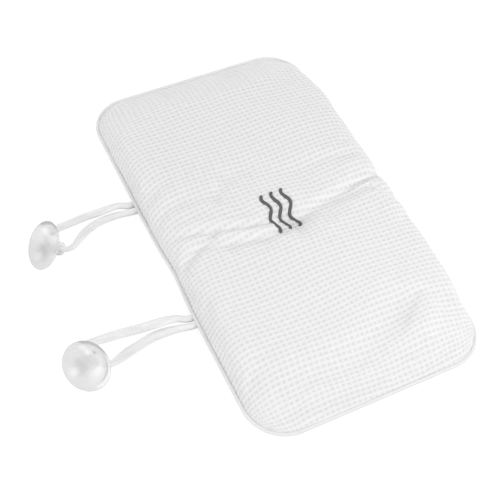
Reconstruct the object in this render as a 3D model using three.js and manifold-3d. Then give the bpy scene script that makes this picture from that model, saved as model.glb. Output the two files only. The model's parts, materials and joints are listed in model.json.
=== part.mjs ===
// Bath pillow with two suction cups on cord loops, in millimetres, +Z up.
// The pad lies on its flat back with its front up. X runs across the pad and Y along it.
// The origin is under the middle of the pad, and the cord loops leave the edge on the -X side.
// Left and right are as seen from the front with the suction cups at the top: right is +Y.

import * as THREE from 'three';
import { mergeVertices } from 'three/addons/utils/BufferGeometryUtils.js';
import Module from 'manifold-3d';

// Clearance between neighbouring pieces
const GAP = 0.3;

// Pad outline, measured over the piping
const PAD_WIDTH = 204;
const PAD_LENGTH = 360;
const CORNER_RADIUS = 35;
const CORNER_RADIUS_LEAST = 4;

// Cloth of the front and back panels
const CLOTH = 1.4;

// Piping: a sleeve of cloth round a thin core, with a flange that is sewn into the seam
const SEAM_HEIGHT = 8.9;
const PIPING_RADIUS = 1.5;
const PIPING_BORE_RADIUS = 1.0;
const FLANGE_THICKNESS = 0.8;

// Padding of the front: its long sides stand steep and swell a little past the seam,
// and its short ends slope down
const FRONT_RISE = 24;
const FRONT_CROWN = 3;
const FRONT_SIDE = { run: 12, lift: 2.4, power: 2.4 };
const FRONT_SIDE_SWELL = 2;
const FRONT_END = { run: 48, lift: 1, power: 1.6 };

// The corners hold less padding: how far the front sinks there, within a reach of the side
// and between two distances from the end
const CORNER_SINK = 9;
const CORNER_SINK_SIDE = 60;
const CORNER_SINK_END = { full: 25, none: 75 };

// Padding of the back, which is flat where it lies
const BACK_EDGE = { run: 12, lift: 1, power: 1.8 };

// Crease across the middle, where the pad folds about the seam's height: the edges that meet there
// lean back from it by the mitre, a sideways step for each step away from that height, and the lobes
// beside it stand no further apart than the fold needs
const CREASE_MITRE = 0.3;
const CREASE_FRONT = { run: 10, lift: 1, power: 1.5 };
const CREASE_CROWN_RUN = 6;
const CREASE_BACK = { run: 4, lift: 1, power: 2 };
const CREASE_CORNER_LEAST = 0.5;
const CREASE_CORNER_GROWTH = 4;

// Cord loops: the soft cord is round at its sewn ends, gathered in the eye, and lies flattened between them
const LOOP_SPACING = 122;
const LOOP_SHIFT = 2.9;
const CORD_DIAMETER = 5.6;
const CORD_DIAMETER_IN_EYE = 4.4;
const CORD_STRAND_SPACING = 7.2;
const FLAT_FROM_SEAM = { start: 3, full: 24 };
const FLAT_FROM_EYE = { start: 9, full: 26 };
const TAIL_THICKNESS = 2.8;
const TAIL_LENGTH = 14;
const BAR_TACK_WIDTH = 1.8;
const BAR_TACK_PROUD = 0.3;
const BAR_TACK_INSET = 10;

// Suction cup, along its own axis from the centre of the eye that the cord runs through
const CUP_RADIUS = 20;
const RIM_HEIGHT = 14.2;
const RIM_THICKNESS = 0.8;
const SEALING_LAND = 1.2;
const DISH_FLOOR_HEIGHT = 7.6;
const DISH_CURVE_RADIUS = 11;
const FLARE_CURVE_RADIUS = 14.5;
const FLARE_CURVE_HEIGHT = 8;
const NECK_HEIGHT = 4.2;
const KNOB_RADIUS = 5.8;
const KNOB_BACK = 4.6;
const KNOB_ROUND = 1.5;
const EYE_CLEARANCE = 0.5;
const EYE_REACH = 6.5;
const EYE_OVERRUN = 3;

// Fineness of the curved surfaces
const CORNER_STEPS = 8;
const CREASE_CORNER_STEPS = 4;
const EDGE_RINGS = 7;
const CROWN_RINGS = 3;
const BACK_RINGS = 4;
const PIPING_SIDES = 9;
const CORE_SIDES = 6;
const CUP_SIDES = 32;
const EYE_SIDES = 16;
const CURVE_STEPS = 5;
const CORD_STEPS = 84;
const CORD_SIDES = 12;
const CORD_END_ANGLES = [75, 50, 25];

// Corners closer than this are one corner
const MERGE_DISTANCE = 1e-4;

// Each loop's cord as it lies, from one sewn end round through the cup's eye to the other:
// out from the seam hinge, along the pad from the loop's middle, and height above the floor.
const RIGHT_LOOP = {
  flatWidth: 7.2,
  outward: [
    [8.5, 6.7, 6.6], [15.2, 7.5, 5.6], [21.2, 8.3, 4.2], [27.5, 9.0, 3.0], [34.5, 9.3, 2.7], [41.5, 8.9, 2.7],
    [49.4, 8.0, 2.8], [55.6, 7.6, 2.9], [61.8, 7.0, 2.9], [67.3, 5.4, 2.8], [71.0, 2.9, 2.8], [73.2, -0.3, 2.7],
    [73.9, -3.8, 2.7], [73.3, -6.9, 2.9],
  ],
  eye: [69.8, -14.6, 7.0],
  faceTurn: -4,
  faceElevation: 40,
  eyeRoll: 42,
  back: [
    [65.6, -21.6, 11.7], [62.9, -22.7, 12.6], [59.9, -22.6, 12.8], [57.1, -21.1, 12.2], [53.3, -17.6, 10.6],
    [47.8, -11.8, 7.5], [42, -6.9, 5.1], [35.8, -3.1, 3.5], [29.5, -0.9, 2.8], [23.5, 0.2, 2.7],
    [17, -0.2, 3.3], [9.5, -1.5, 4.6],
  ],
};
const LEFT_LOOP = {
  flatWidth: 8.4,
  outward: [
    [8.4, 7.3, 6.7], [14.8, 8.7, 6.2], [20.7, 9.8, 5.3], [27.1, 11.0, 4.1], [33.1, 11.9, 3.2], [40.1, 12.8, 2.7],
    [46.7, 13.7, 2.6], [53.4, 14.5, 2.6], [60.4, 14.9, 2.8], [66.8, 15.0, 3.4], [73, 14.9, 4.3],
    [78.5, 14.6, 5.3], [82, 13.7, 5.9], [84.6, 11.7, 6.5], [86.0, 8.9, 6.9], [86.0, 5.7, 7.2],
  ],
  eye: [80.4, -2.2, 7.4],
  faceTurn: 40,
  faceElevation: 39,
  eyeRoll: 0,
  back: [
    [73.9, -9.1, 7.4], [71, -10.0, 7.2], [67.8, -9.8, 6.9], [62, -8.2, 6.2], [56.4, -5.9, 5.2], [50.4, -3.7, 4.2],
    [43.6, -1.8, 3.2], [36.6, 0.1, 2.7], [30.6, 1.2, 2.6], [23.9, 1.2, 2.9], [17.5, 0.5, 3.6], [11, -0.8, 4.6],
  ],
};

// Sizes that follow from those above
const CORD_RADIUS = CORD_DIAMETER / 2;
const CORD_RADIUS_IN_EYE = CORD_DIAMETER_IN_EYE / 2;
const EYE_RADIUS = CORD_RADIUS_IN_EYE + EYE_CLEARANCE;
const PANEL_INSET = 2 * PIPING_RADIUS + GAP;
const FLANGE_INSET = PANEL_INSET + CLOTH;
const SEAM_HALF = FLANGE_THICKNESS / 2 + GAP;
const PANEL_CREASE_INSET = GAP / 2 + CREASE_MITRE * SEAM_HALF;
const FRONT_BASE = SEAM_HEIGHT + SEAM_HALF;
const BACK_TOP = SEAM_HEIGHT - SEAM_HALF;
const TAIL_HEIGHT = SEAM_HEIGHT - PIPING_RADIUS - GAP - TAIL_THICKNESS / 2;
const TAIL_START = PAD_WIDTH / 2 + GAP;
const HINGE_OUT = TAIL_START + GAP + CORD_RADIUS;

const wasm = await Module();
wasm.setup();

const cloth = { color: 0xf0f0ee, roughness: 0.95, metalness: 0 };
const foam = { color: 0xf4efdc, roughness: 1, metalness: 0 };
const cord = { color: 0xf2f2f0, roughness: 0.9, metalness: 0 };
const clearPlastic = { color: 0xdfe4e4, roughness: 0.25, metalness: 0, transparent: true, opacity: 0.45 };

// A named piece with its own material
function piece(name, geometry, look) {
  geometry.computeVertexNormals();
  const mesh = new THREE.Mesh(geometry, new THREE.MeshStandardMaterial(look));
  mesh.name = name;
  return mesh;
}

// Geometry to solid and back, for cuts and joins
function solidOf(geometry) {
  const bare = geometry.clone();
  bare.deleteAttribute('normal');
  bare.deleteAttribute('uv');
  const merged = mergeVertices(bare, MERGE_DISTANCE);
  return new wasm.Manifold(new wasm.Mesh({
    numProp: 3,
    vertProperties: new Float32Array(merged.attributes.position.array),
    triVerts: new Uint32Array(merged.index.array),
  }));
}

function geometryOf(solid) {
  const mesh = solid.getMesh();
  const geometry = new THREE.BufferGeometry();
  geometry.setAttribute('position', new THREE.BufferAttribute(new Float32Array(mesh.vertProperties), 3));
  geometry.setIndex(new THREE.BufferAttribute(new Uint32Array(mesh.triVerts), 1));
  return geometry;
}

// Six times the signed volume inside a closed mesh: negative when its faces point inwards
function signedVolume(points, faces) {
  const cross = new THREE.Vector3();
  return faces.reduce((sum, [a, b, c]) => sum + points[a].dot(cross.crossVectors(points[b], points[c])), 0);
}

// A closed solid through rings of equal counts, with a fan over the first and the last
function loft(rings) {
  const count = rings[0].length;
  const points = rings.flat();
  const faces = [];
  for (let level = 0; level < rings.length - 1; level += 1) {
    for (let i = 0; i < count; i += 1) {
      const a = level * count + i;
      const b = level * count + (i + 1) % count;
      faces.push([a, b, b + count], [a, b + count, a + count]);
    }
  }
  const cap = (ring, first, flip) => {
    const middle = ring.reduce((sum, p) => sum.add(p), new THREE.Vector3()).divideScalar(count);
    const centre = points.push(middle) - 1;
    for (let i = 0; i < count; i += 1) {
      const edge = [first + i, first + (i + 1) % count];
      faces.push(flip ? [centre, edge[1], edge[0]] : [centre, edge[0], edge[1]]);
    }
  };
  cap(rings[0], 0, true);
  cap(rings[rings.length - 1], (rings.length - 1) * count, false);
  if (signedVolume(points, faces) < 0) faces.forEach((face) => face.reverse());
  const geometry = new THREE.BufferGeometry();
  geometry.setFromPoints(points);
  geometry.setIndex(faces.flat());
  return geometry;
}

// A quarter circle from a starting angle in quarter turns
function quarterArc(x, y, radius, startQuarter, steps) {
  return Array.from({ length: steps + 1 }, (_, i) => {
    const angle = (startQuarter + i / steps) * Math.PI / 2;
    return new THREE.Vector2(x + radius * Math.cos(angle), y + radius * Math.sin(angle));
  });
}

// The two rounded outer corners of the right half, inset from the pad's sides and end
function outerCorners(sideInset, endInset) {
  const radius = Math.max(CORNER_RADIUS - sideInset, CORNER_RADIUS_LEAST);
  const x = PAD_WIDTH / 2 - sideInset - radius;
  const y = PAD_LENGTH / 2 - endInset - radius;
  return [
    ...quarterArc(x, y, radius, 0, CORNER_STEPS),
    ...quarterArc(-x, y, radius, 1, CORNER_STEPS),
  ];
}

// One level ring round the right half, inset from its sides, its end and the crease
function levelRing({ side, end, crease, corner, height }) {
  const x = PAD_WIDTH / 2 - side - corner;
  const y = crease + corner;
  const outline = [
    ...outerCorners(side, end),
    ...quarterArc(-x, y, corner, 2, CREASE_CORNER_STEPS),
    ...quarterArc(x, y, corner, 3, CREASE_CORNER_STEPS),
  ];
  return outline.map((p) => new THREE.Vector3(p.x, p.y, height));
}

// How far in from its edge a padded side is when it has risen by a share of its height
function runAt(share, { run, lift, power }) {
  return run * (1 - (1 - share ** lift) ** (1 / power));
}

// Shares of the height at which the rings round a padded edge lie, closer where it levels off
function edgeShares(count) {
  return Array.from({ length: count + 1 }, (_, i) => 1 - (1 - i / count) ** 2);
}

// How far the front sinks at a place near a corner
function cornerSink({ x, y }) {
  const { smoothstep } = THREE.MathUtils;
  const bySide = 1 - smoothstep(PAD_WIDTH / 2 - Math.abs(x), 0, CORNER_SINK_SIDE);
  const byEnd = 1 - smoothstep(PAD_LENGTH / 2 - Math.abs(y), CORNER_SINK_END.full, CORNER_SINK_END.none);
  return CORNER_SINK * bySide * byEnd;
}

// Rings up the padded front, from its seam over the edge to the crown's flat middle.
// skin is how far this surface lies inside the cloth's outer face.
function frontRings(skin) {
  const rise = FRONT_RISE - skin;
  const rings = edgeShares(EDGE_RINGS).map((share) => ({
    side: PANEL_INSET + skin + runAt(share, FRONT_SIDE) - FRONT_SIDE_SWELL * Math.sin(Math.PI * share),
    end: PANEL_INSET + skin + runAt(share, FRONT_END),
    crease: PANEL_CREASE_INSET + skin + runAt(share, CREASE_FRONT),
    corner: CREASE_CORNER_LEAST + CREASE_CORNER_GROWTH * share,
    height: FRONT_BASE + rise * share,
    sinking: share,
  }));
  const shoulder = rings[EDGE_RINGS];
  const reach = (PAD_LENGTH / 2 - shoulder.end - shoulder.crease) / 2;
  for (let i = 1; i <= CROWN_RINGS; i += 1) {
    const share = i / (CROWN_RINGS + 1);
    rings.push({
      side: shoulder.side + reach * share,
      end: shoulder.end + reach * share,
      crease: shoulder.crease + CREASE_CROWN_RUN * share,
      corner: shoulder.corner,
      height: shoulder.height + FRONT_CROWN * (1 - (1 - share) ** 2),
      sinking: 1,
    });
  }
  return rings.map((ring) => {
    const points = levelRing(ring);
    points.forEach((p) => p.setZ(p.z - ring.sinking * cornerSink(p)));
    return points;
  });
}

function backRings(skin) {
  const drop = BACK_TOP - skin;
  return edgeShares(BACK_RINGS).map((share) => {
    const inset = PANEL_INSET + skin + runAt(share, BACK_EDGE);
    return levelRing({
      side: inset,
      end: inset,
      crease: PANEL_CREASE_INSET + skin + runAt(share, CREASE_BACK),
      corner: CREASE_CORNER_LEAST + CREASE_CORNER_GROWTH * share,
      height: BACK_TOP - drop * share,
    });
  });
}

// A box between two corners
function box(low, high) {
  const size = high.map((v, i) => v - low[i]);
  const geometry = new THREE.BoxGeometry(...size);
  geometry.translate(...low.map((v, i) => v + size[i] / 2));
  return geometry;
}

// The flattened cord ends inside the seam and the bar tack sewn across them, at a place along the edge.
// Grown by a clearance, the same form is the room that the back cloth and the foam leave for them.
function cordEnds(middle, clearance) {
  const outer = -TAIL_START - clearance;
  const inner = -TAIL_START + TAIL_LENGTH + clearance;
  const half = TAIL_THICKNESS / 2 + clearance;
  const strands = [-1, 1].map((side) => {
    const y = middle + side * CORD_STRAND_SPACING / 2;
    return box(
      [outer, y - CORD_RADIUS - clearance, TAIL_HEIGHT - half],
      [inner, y + CORD_RADIUS + clearance, TAIL_HEIGHT + half],
    );
  });
  const tackX = -TAIL_START + BAR_TACK_INSET;
  const tackHalfLength = CORD_STRAND_SPACING / 2 + CORD_RADIUS + BAR_TACK_PROUD + clearance;
  const tackHalfHeight = half + BAR_TACK_PROUD;
  const tack = box(
    [tackX - BAR_TACK_WIDTH / 2 - clearance, middle - tackHalfLength, TAIL_HEIGHT - tackHalfHeight],
    [tackX + BAR_TACK_WIDTH / 2 + clearance, middle + tackHalfLength, TAIL_HEIGHT + tackHalfHeight],
  );
  return strands.reduce((solid, strand) => solid.add(solidOf(strand)), solidOf(tack));
}

function frontPanel() {
  return loft([...frontRings(CLOTH).reverse(), ...frontRings(0)]);
}

function backPanel(loopMiddle) {
  const tray = loft([...backRings(CLOTH).reverse(), ...backRings(0)]);
  return geometryOf(solidOf(tray).subtract(cordEnds(loopMiddle, GAP)));
}

// The foam's rings run down from its crown, as those of the front cloth's inner face do, so that
// the facets of the two match
function foamPad(loopMiddle) {
  const top = frontRings(CLOTH + GAP);
  const bottom = backRings(CLOTH + GAP);
  const pad = loft([...top.reverse(), ...bottom]);
  return geometryOf(solidOf(pad).subtract(cordEnds(loopMiddle, GAP)));
}

// A section of [inset, height above the seam] points swept round the right half's edge,
// with its ends mitred at the crease or run past it
function sweptRoundEdge(section, overrun) {
  const lines = section.map(([inset, height]) => {
    const x = PAD_WIDTH / 2 - inset;
    const y = GAP / 2 + CREASE_MITRE * Math.abs(height) - overrun;
    const line = [new THREE.Vector2(x, y), ...outerCorners(inset, inset), new THREE.Vector2(-x, y)];
    return line.map((p) => new THREE.Vector3(p.x, p.y, SEAM_HEIGHT + height));
  });
  return loft(lines[0].map((_, i) => lines.map((line) => line[i])));
}

function circleSection(radius, sides, from, to) {
  return Array.from({ length: sides }, (_, i) => {
    const angle = from + (to - from) * i / (sides - 1);
    return [PIPING_RADIUS - radius * Math.cos(angle), radius * Math.sin(angle)];
  });
}

function pipingSleeve() {
  const open = Math.PI - Math.asin(FLANGE_THICKNESS / 2 / PIPING_RADIUS);
  const outer = [
    ...circleSection(PIPING_RADIUS, PIPING_SIDES, -open, open),
    [FLANGE_INSET, FLANGE_THICKNESS / 2],
    [FLANGE_INSET, -FLANGE_THICKNESS / 2],
  ];
  const sleeve = solidOf(sweptRoundEdge(outer, 0));
  const bore = solidOf(sweptRoundEdge(roundSection(PIPING_BORE_RADIUS), PIPING_RADIUS));
  return geometryOf(sleeve.subtract(bore));
}

function roundSection(radius) {
  const last = Math.PI * (1 - 1 / CORE_SIDES);
  return circleSection(radius, CORE_SIDES, -last, last);
}

function pipingCore() {
  return sweptRoundEdge(roundSection(PIPING_BORE_RADIUS - GAP), 0);
}

// Axes of a cup in its loop: its face points out and up, and the eye crosses it
function cupAxes(loop) {
  const turn = THREE.MathUtils.degToRad(loop.faceTurn);
  const elevation = THREE.MathUtils.degToRad(loop.faceElevation);
  const face = new THREE.Vector3(
    -Math.cos(elevation) * Math.cos(turn),
    -Math.cos(elevation) * Math.sin(turn),
    Math.sin(elevation),
  );
  const level = new THREE.Vector3(-Math.sin(turn), Math.cos(turn), 0);
  const eye = level.applyAxisAngle(face, THREE.MathUtils.degToRad(loop.eyeRoll));
  return { face, eye };
}

// A point of a loop's route in the loop's own group
function routePoint([out, along, height]) {
  return new THREE.Vector3(-out, along, height);
}

function cordRoute(loop) {
  const { eye } = cupAxes(loop);
  const through = [EYE_REACH, 0, -EYE_REACH].map((reach) => (
    routePoint(loop.eye).addScaledVector(eye, reach)
  ));
  return new THREE.CatmullRomCurve3([
    routePoint([0, CORD_STRAND_SPACING / 2, TAIL_HEIGHT]),
    ...loop.outward.map(routePoint),
    ...through,
    ...loop.back.map(routePoint),
    routePoint([0, -CORD_STRAND_SPACING / 2, TAIL_HEIGHT]),
  ], false, 'centripetal');
}

// One ring across the cord at a share of its route, pushed on by a distance and narrowed
function cordRing(loop, route, share, push, narrowing) {
  const middle = route.getPointAt(share);
  const ahead = route.getTangentAt(share);
  const { smoothstep } = THREE.MathUtils;
  const fromSeam = smoothstep(-middle.x, FLAT_FROM_SEAM.start, FLAT_FROM_SEAM.full);
  const fromEye = smoothstep(middle.distanceTo(routePoint(loop.eye)), FLAT_FROM_EYE.start, FLAT_FROM_EYE.full);
  const radius = CORD_RADIUS_IN_EYE + (CORD_RADIUS - CORD_RADIUS_IN_EYE) * fromEye;
  const halfWidth = radius + (loop.flatWidth / 2 - radius) * fromSeam * fromEye;
  const halfHeight = radius ** 2 / halfWidth;
  const wide = new THREE.Vector3(ahead.y, -ahead.x, 0).normalize();
  const high = new THREE.Vector3().crossVectors(wide, ahead);
  middle.addScaledVector(ahead, push);
  return Array.from({ length: CORD_SIDES }, (_, i) => {
    const angle = 2 * Math.PI * i / CORD_SIDES;
    return middle.clone()
      .addScaledVector(wide, narrowing * halfWidth * Math.cos(angle))
      .addScaledVector(high, narrowing * halfHeight * Math.sin(angle));
  });
}

// The cord's ends are round, so that the loop swings at the seam
function cordLoop(loop) {
  const route = cordRoute(loop);
  const along = Array.from({ length: CORD_STEPS + 1 }, (_, i) => cordRing(loop, route, i / CORD_STEPS, 0, 1));
  const roundEnd = (share, direction) => CORD_END_ANGLES.map((degrees) => {
    const angle = THREE.MathUtils.degToRad(degrees);
    return cordRing(loop, route, share, direction * CORD_RADIUS * Math.sin(angle), Math.cos(angle));
  });
  return loft([...roundEnd(0, -1), ...along, ...roundEnd(1, 1).reverse()]);
}

// Revolved about Y from the knob's back, round the flared outside and the rim, to the dish's floor
function suctionCup() {
  const profile = new THREE.Path();
  profile.moveTo(0, -KNOB_BACK);
  profile.lineTo(KNOB_RADIUS - KNOB_ROUND, -KNOB_BACK);
  profile.quadraticCurveTo(KNOB_RADIUS, -KNOB_BACK, KNOB_RADIUS, -KNOB_BACK + KNOB_ROUND);
  profile.lineTo(KNOB_RADIUS, NECK_HEIGHT);
  profile.quadraticCurveTo(FLARE_CURVE_RADIUS, FLARE_CURVE_HEIGHT, CUP_RADIUS, RIM_HEIGHT - RIM_THICKNESS);
  profile.lineTo(CUP_RADIUS, RIM_HEIGHT);
  profile.lineTo(CUP_RADIUS - SEALING_LAND, RIM_HEIGHT);
  profile.quadraticCurveTo(DISH_CURVE_RADIUS, DISH_FLOOR_HEIGHT, 0, DISH_FLOOR_HEIGHT);
  const body = new THREE.LatheGeometry(profile.getPoints(CURVE_STEPS), CUP_SIDES);
  body.rotateX(Math.PI / 2);
  const eye = new THREE.CylinderGeometry(
    EYE_RADIUS, EYE_RADIUS, 2 * (KNOB_RADIUS + EYE_OVERRUN), EYE_SIDES,
  );
  eye.rotateZ(Math.PI / 2);
  return geometryOf(solidOf(body).subtract(solidOf(eye)));
}

// One half of the pad, drawn as the right half and mirrored to make the left
function padHalf(name, side) {
  const loopMiddle = LOOP_SPACING / 2 + side * LOOP_SHIFT;
  const half = new THREE.Group();
  half.add(
    piece(`${name}_front_panel`, frontPanel(), cloth),
    piece(`${name}_back_panel`, backPanel(loopMiddle), cloth),
    piece(`${name}_foam_pad`, foamPad(loopMiddle), foam),
    piece(`${name}_piping`, pipingSleeve(), cloth),
    piece(`${name}_piping_core`, pipingCore(), cord),
    piece(`${name}_cord_ends`, geometryOf(cordEnds(loopMiddle, 0)), cord),
  );
  half.scale.y = side;
  return half;
}

// A cord loop and the cup that hangs on it, in a group at the seam hinge
function hangingLoop(name, loop, side) {
  const hanger = new THREE.Group();
  hanger.position.set(-HINGE_OUT, side * LOOP_SPACING / 2 + LOOP_SHIFT, 0);
  hanger.add(piece(`${name}_cord_loop`, cordLoop(loop), cord));
  const cup = piece(`${name}_suction_cup`, suctionCup(), clearPlastic);
  const { face, eye } = cupAxes(loop);
  const across = new THREE.Vector3().crossVectors(face, eye);
  cup.quaternion.setFromRotationMatrix(new THREE.Matrix4().makeBasis(eye, across, face));
  cup.position.copy(routePoint(loop.eye));
  hanger.add(cup);
  return hanger;
}

const pillow = new THREE.Group();
pillow.add(
  padHalf('right', 1),
  padHalf('left', -1),
  hangingLoop('right', RIGHT_LOOP, 1),
  hangingLoop('left', LEFT_LOOP, -1),
);

export default pillow;
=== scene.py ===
"""Looks of a bath pillow: white waffle cloth over padding, a piped seam, and two clear suction cups
on cord loops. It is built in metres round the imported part: X across the pad, Y along it, Z up."""

import json
import math

import bmesh
import bpy
import numpy as np
from mathutils import Matrix, Vector
from mathutils.bvhtree import BVHTree


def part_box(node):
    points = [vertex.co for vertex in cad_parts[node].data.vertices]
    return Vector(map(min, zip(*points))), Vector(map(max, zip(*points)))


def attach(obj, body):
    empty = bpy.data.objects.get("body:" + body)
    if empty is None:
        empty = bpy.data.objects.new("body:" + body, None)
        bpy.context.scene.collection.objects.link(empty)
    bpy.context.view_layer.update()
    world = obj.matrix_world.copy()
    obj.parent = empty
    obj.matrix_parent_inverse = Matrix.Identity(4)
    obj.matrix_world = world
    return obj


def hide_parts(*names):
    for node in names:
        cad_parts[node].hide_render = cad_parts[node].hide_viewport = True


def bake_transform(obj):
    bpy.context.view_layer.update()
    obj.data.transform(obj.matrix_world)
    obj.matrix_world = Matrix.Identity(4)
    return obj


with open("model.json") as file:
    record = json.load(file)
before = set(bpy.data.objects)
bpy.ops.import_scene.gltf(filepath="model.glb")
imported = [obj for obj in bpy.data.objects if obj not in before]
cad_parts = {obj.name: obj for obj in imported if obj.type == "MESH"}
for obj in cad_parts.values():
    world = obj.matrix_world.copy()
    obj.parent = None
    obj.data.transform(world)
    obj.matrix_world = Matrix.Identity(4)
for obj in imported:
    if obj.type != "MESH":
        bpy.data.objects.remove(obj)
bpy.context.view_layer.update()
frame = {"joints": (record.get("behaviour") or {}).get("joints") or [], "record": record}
MM = 0.001
UP = np.array((0, 0, 1))
DOWN = Vector((0, 0, -1))
ABOVE_ALL = 1.0
FOUR_CORNERS = ((1, 1), (-1, 1), (-1, -1), (1, -1))
CURVE_SAMPLES = 24
# A smaller share of the rise is the seam itself, and a smaller move of the cloth is none
SEAM_SHARE = 1e-6
LEAST_MOVE = 1e-9

# Camera, as fitted to the photograph's frame
FRAME_PIXELS = 500
FOCAL_PIXELS = 1050
SENSOR_WIDTH = 36
VIEW_AZIMUTH = math.radians(-31.2)
VIEW_ELEVATION = math.radians(54.9)
VIEW_ROLL = math.radians(6.4)
VIEW_DISTANCE = 877 * MM
VIEW_TARGET = Vector((-28.8, -10.9, 0)) * MM

# Studio: an even white surround, a soft lamp above the near side, others low round the pad, a white floor
WORLD_LIGHT = 0.54
WORLD_SEEN = 1.0
LAMP_SIZE = 0.6
LAMPS = {
    "key": {"place": (0.28, -0.62, 0.78), "power": 4.2},
    "left": {"place": (-1.2, -0.1, 0.4), "power": 4.4},
    "right": {"place": (1.2, 0.0, 0.35), "power": 2.4},
    "back": {"place": (0.0, 1.3, 0.3), "power": 4.4},
}
FLOOR_HALF = 6.0
FLOOR_HEIGHT = -0.3 * MM
FLOOR_GREY = 0.8
FLOOR_SHADOW = 0.22
FLOOR_GLOW = 0.88

# Pad outline and heights, taken from the part
PIPING_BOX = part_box("right_piping")
FRONT_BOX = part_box("right_front_panel")
HALF_WIDTH = PIPING_BOX[1].x
HALF_LENGTH = PIPING_BOX[1].y
SEAM_HEIGHT = (PIPING_BOX[0].z + PIPING_BOX[1].z) / 2
PIPING_RADIUS = (PIPING_BOX[1].z - PIPING_BOX[0].z) / 2
FRONT_CROWN = 3 * MM
FRONT_BASE = SEAM_HEIGHT + 0.3 * MM
FRONT_RISE = FRONT_BOX[1].z - FRONT_CROWN - FRONT_BASE
CORNER_RADIUS = 35 * MM
PANEL_TUCK = 2.7 * MM

# How the padding rises from the seam: the run that it takes, how it lifts off, how it levels out
# and how far it swells past the seam
FRONT_SIDE = {"run": 12 * MM, "lift": 2.4, "power": 2.4, "swell": 2.6 * MM}
FRONT_LEFT_SIDE = {"run": 20 * MM, "lift": 2.0, "power": 2.0, "swell": 0.8 * MM}
FRONT_END = {"run": 48 * MM, "lift": 1.0, "power": 1.6, "swell": 0}
FRONT_NEAR_END = {"run": 34 * MM, "lift": 1.0, "power": 1.8, "swell": 0}
BACK_SIDE = {"run": 12 * MM, "lift": 1.0, "power": 1.8, "swell": 0}
BACK_CLEARANCE = 0.2 * MM
BACK_CELL = 8 * MM
BACK_LEVELS = 1
PROFILE_STEPS = 400

# The corners hold less padding: how far the front sinks there, within a reach of the side
# and between two distances from the end
CORNER_SINK = 11 * MM
CORNER_SINK_SIDE = 60 * MM
CORNER_SINK_END_FULL = 25 * MM
CORNER_SINK_END_NONE = 75 * MM

# Soft unevenness of the padding, as waves with their directions and phases in radians
UNEVEN_HEIGHT = 0.35 * MM
UNEVEN_WAVES = [
    {"turn": 0.5, "length": 74 * MM, "phase": 0.4},
    {"turn": 1.9, "length": 58 * MM, "phase": 2.1},
    {"turn": 2.7, "length": 91 * MM, "phase": 4.0},
    {"turn": 1.2, "length": 43 * MM, "phase": 1.0},
]

# Waffle weave: square pits between ridges, the ridges across the pad standing higher
WAFFLE_ACROSS = 4.65 * MM
WAFFLE_ALONG = 4.25 * MM
WAFFLE_DEPTH = 1.05 * MM
WAFFLE_LOW_RIDGE = 0.8
WAFFLE_EDGE_FADE = 3 * MM
# How many mesh faces a cell has each way at first, and how often these are halved
WAFFLE_GRID = 1.5
WAFFLE_LEVELS = 2
# How the rows wander: by how many cells, over which lengths across and along the pad
WAFFLE_DRIFT = 0.4
WAFFLE_DRIFT_ACROSS = 130 * MM
WAFFLE_DRIFT_ALONG = 95 * MM

# The crease draws the left seam in: how far, where along it, how widely, and how fast this fades inwards
SEAM_PULL = 2.0 * MM
SEAM_PULL_PLACE = -14 * MM
SEAM_PULL_WIDTH = 24 * MM
SEAM_PULL_POWER = 6

# Crease and wrinkles on the front, as paths of (across, along) points in millimetres, with the depth
# and the half-width at their two ends; a depth below zero is a ridge
CREASES = [
    {"path": [(0, -15), (-40, -15), (-106, -17)], "depth": (2.4, 3.0), "width": (13, 16)},
    {"path": [(0, -15), (30, -10), (69, -3), (106, 6)], "depth": (4.2, 3.2), "width": (10, 9)},
    {"path": [(6, -22), (35, -17), (62, -11)], "depth": (2.8, 1.4), "width": (9, 7)},
    {"path": [(0, 126), (40, 122), (80, 108)], "depth": (1.6, 2.2), "width": (18, 18)},
    {"path": [(100, 118), (97, 142), (86, 160)], "depth": (2.5, 5.0), "width": (14, 18)},
    {"path": [(101, -100), (99, -130), (94, -150)], "depth": (1.0, 3.0), "width": (14, 16)},
]
WRINKLES = [
    {"path": [(12, -14), (52, -6), (69, -2.5), (90, 1), (104, 5)], "depth": (2.6, 3.4), "width": (3, 4)},
    {"path": [(12, -19), (45, -14), (66, -12), (80, -12)], "depth": (1.4, 2.2), "width": (3, 3.5)},
    {"path": [(80, -12), (90, -18), (98, -28)], "depth": (2.2, 2.6), "width": (3.5, 5)},
    {"path": [(30, 27), (62, 27), (95, 24)], "depth": (1.2, 2.0), "width": (5, 5)},
    {"path": [(-17, -13), (-38, -7), (-66, 0), (-90, 5)], "depth": (3.6, 3.2), "width": (3, 4)},
    {"path": [(-20, -17), (-42, -13), (-64, -10)], "depth": (-3.0, -1.6), "width": (5, 4)},
    {"path": [(-62, -7), (-80, -13), (-96, -22), (-106, -32)], "depth": (3.0, 5.0), "width": (4, 6)},
    {"path": [(-8, -24), (-33, -22), (-54, -20)], "depth": (3.2, 2.0), "width": (4, 5)},
    {"path": [(-105, 24), (-82, 33), (-45, 30)], "depth": (3.6, 1.2), "width": (8, 6)},
    {"path": [(-100, 8), (-82, 16), (-60, 17)], "depth": (2.8, 1.0), "width": (5, 5)},
    {"path": [(-45, 26), (-30, 40), (-10, 42)], "depth": (2.0, 1.0), "width": (5, 6)},
    {
        "path": [(-60, -149), (-25, -150), (0, -147), (22, -138), (46, -122)],
        "depth": (3.6, 4.6),
        "width": (10, 11),
    },
    {
        "path": [(-50, -166), (-20, -168), (10, -165), (38, -154), (66, -136)],
        "depth": (-2.0, -2.2),
        "width": (7, 8),
    },
]
# Soft shoulders beside them: their share of the depth, and their place and width in half-widths
WRINKLE_SHOULDER = 0.3
WRINKLE_SHOULDER_PLACE = 1.9
WRINKLE_SHOULDER_WIDTH = 0.8

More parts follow.
